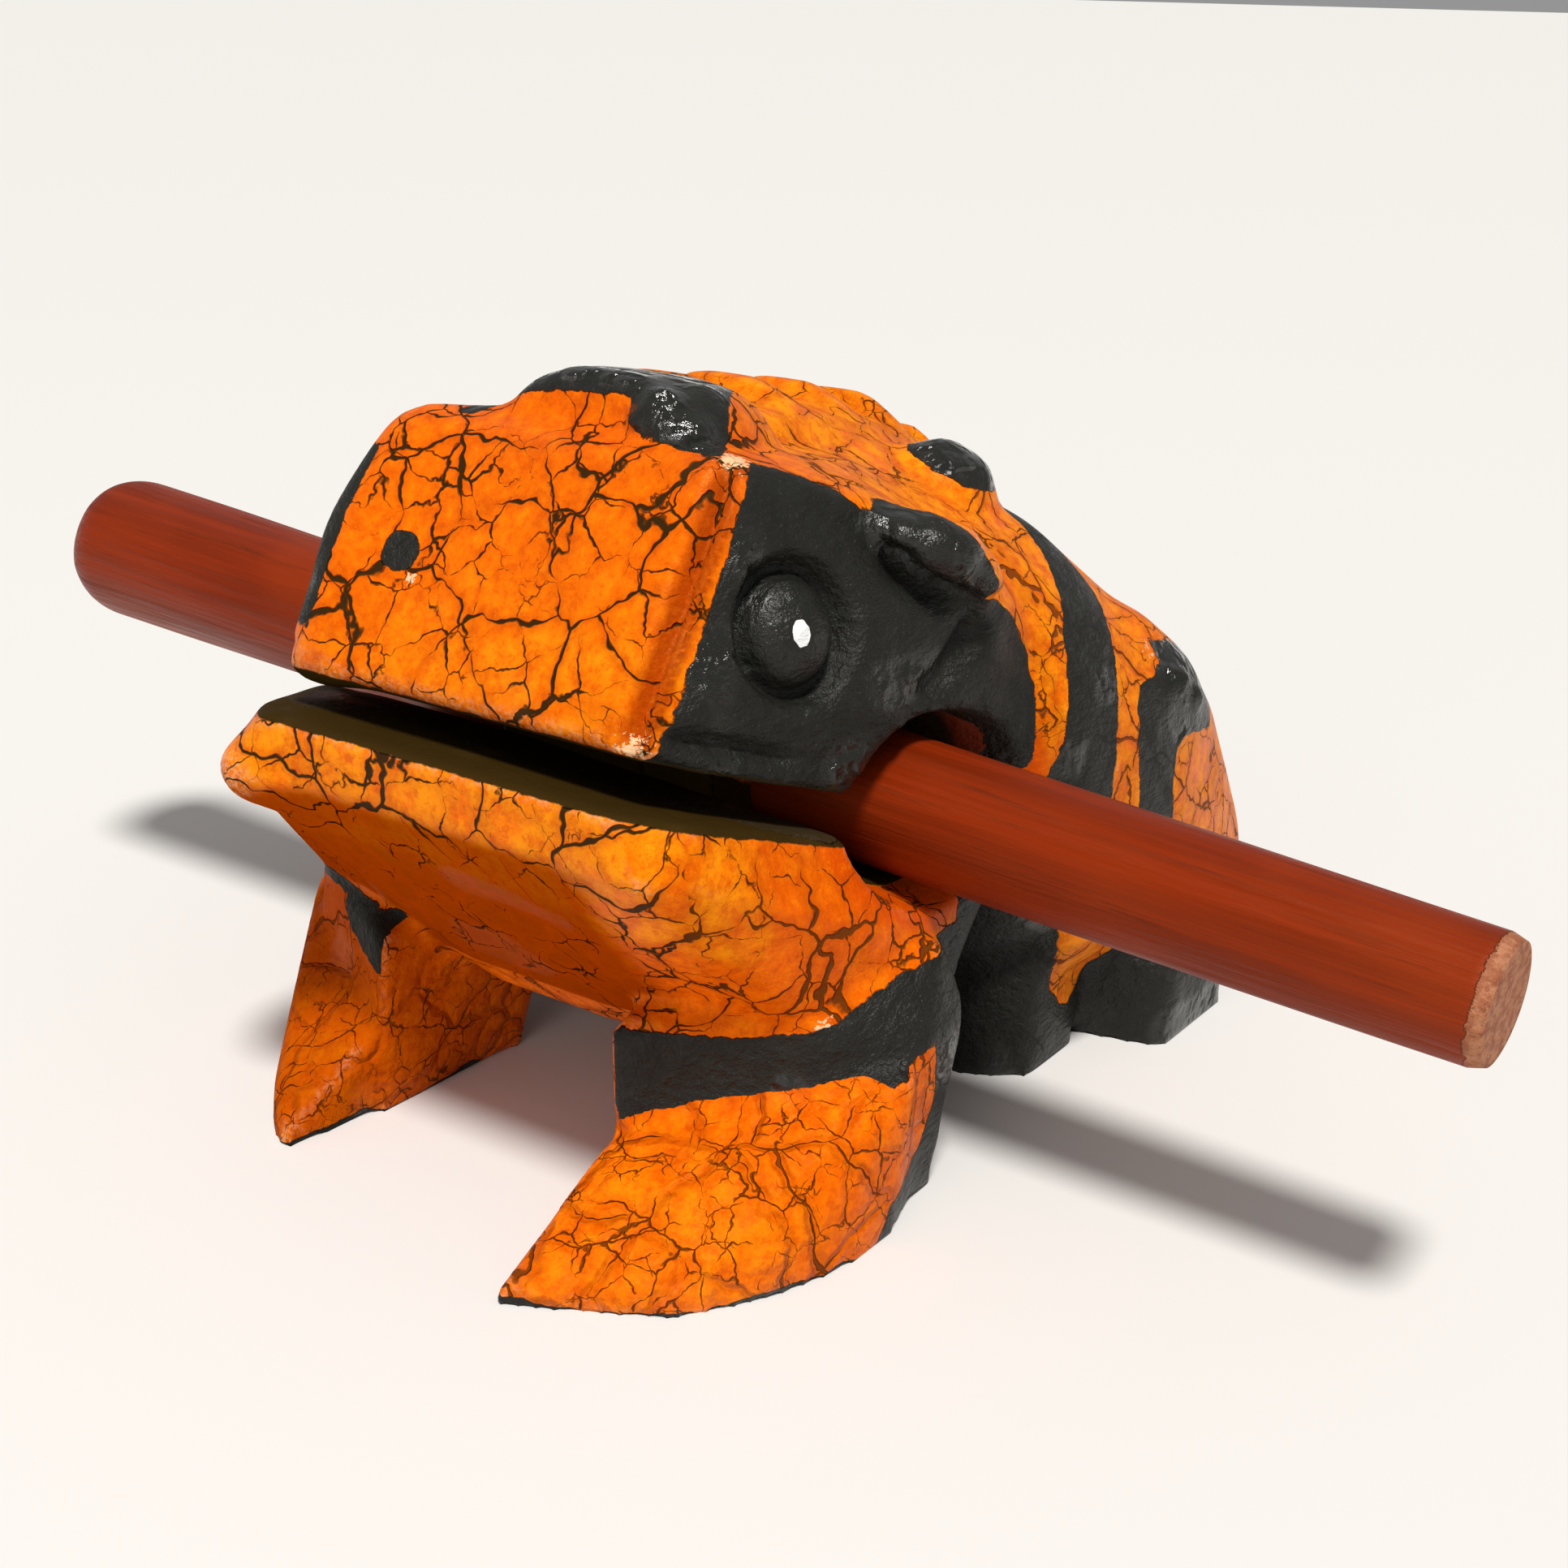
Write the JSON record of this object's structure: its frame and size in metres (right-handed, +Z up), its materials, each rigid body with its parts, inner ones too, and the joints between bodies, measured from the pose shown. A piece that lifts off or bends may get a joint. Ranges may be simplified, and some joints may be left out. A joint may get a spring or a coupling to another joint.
{
  "type": "frog guiro",
  "caption": "Carved wooden frog with a ridged back, painted orange and black with crackle, and its striker stick stored through the side sound hole.",
  "frame": {"origin": "on the ground, under the middle of the bounding box of frog and stick", "axes": "+Z up, -Y the way the frog looks, +X to the frog's left, nearly along the stick"},
  "size_m": [0.1491, 0.0956, 0.0635],
  "materials": {
    "painted_wood": "satin crackle paint",
    "stained_wood": "satin stain"
  },
  "bodies": {
    "root": {"frog_body": "painted_wood", "striker_stick": "stained_wood"}
  },
  "joints": []
}
